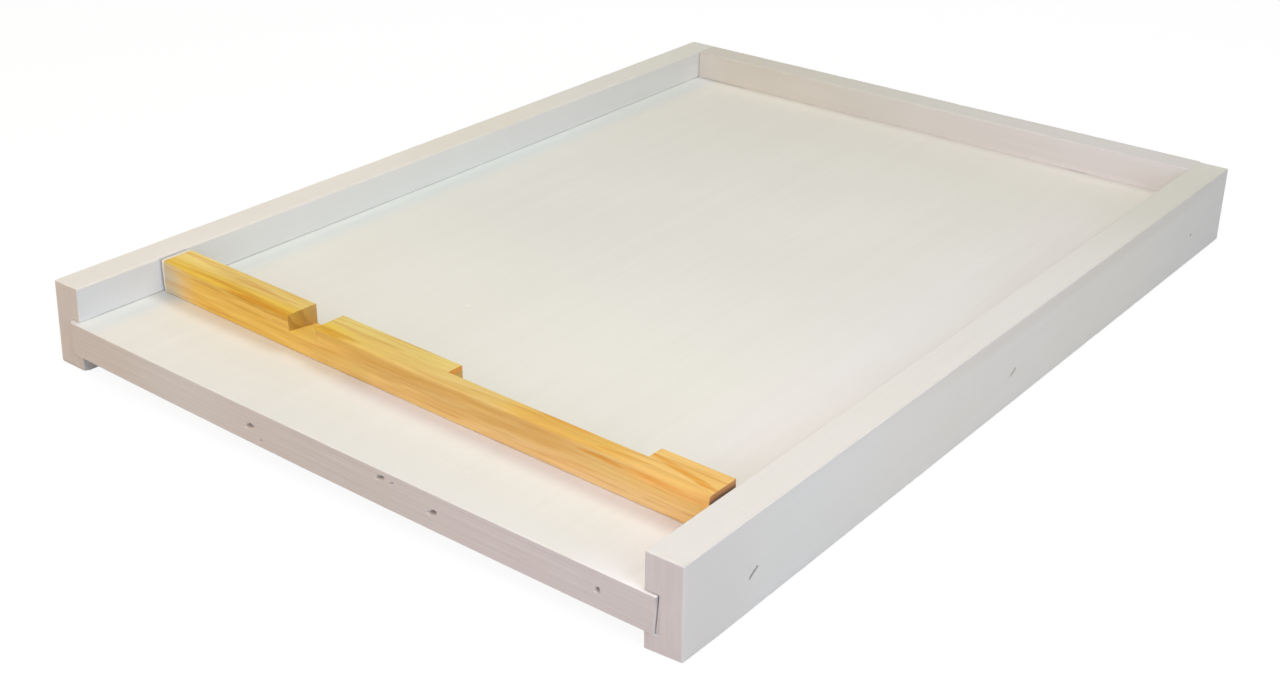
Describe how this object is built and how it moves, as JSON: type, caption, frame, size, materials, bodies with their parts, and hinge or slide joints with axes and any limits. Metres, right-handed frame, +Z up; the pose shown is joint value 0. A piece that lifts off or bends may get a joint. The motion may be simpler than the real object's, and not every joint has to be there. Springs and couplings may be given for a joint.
{
  "type": "hive bottom board",
  "caption": "Reversible hive floor of painted plywood let into grooved side and rear rails, with a loose notched stick that slides between the rails to narrow the entrance.",
  "frame": {"origin": "middle of the board's outline, on the underside of the rails", "axes": "+Z up with the deep side on top, -Y towards the open front where bees walk in, +X to the right seen from the front"},
  "size_m": [0.4128, 0.5608, 0.0476],
  "materials": {
    "white_paint": "white exterior paint, satin, over pine and plywood",
    "bare_pine": "bare planed pine",
    "staple_wire": "galvanised wire, partly painted over"
  },
  "bodies": {
    "board": {"floor_panel": "white_paint", "left_rail": "white_paint", "right_rail": "white_paint", "rear_rail": "white_paint", "left_staple_1": "staple_wire", "left_staple_2": "staple_wire", "left_staple_3": "staple_wire", "rear_staple_1": "staple_wire", "rear_staple_2": "staple_wire", "rear_staple_3": "staple_wire", "right_staple_1": "staple_wire", "right_staple_2": "staple_wire", "right_staple_3": "staple_wire"},
    "reducer": {"entrance_reducer": "bare_pine"}
  },
  "joints": [
    {"name": "reducer_slide", "type": "slide", "parent": "board", "child": "reducer", "axis": [0, -1, 0], "range_m": [-0.465, 0.0495]}
  ]
}
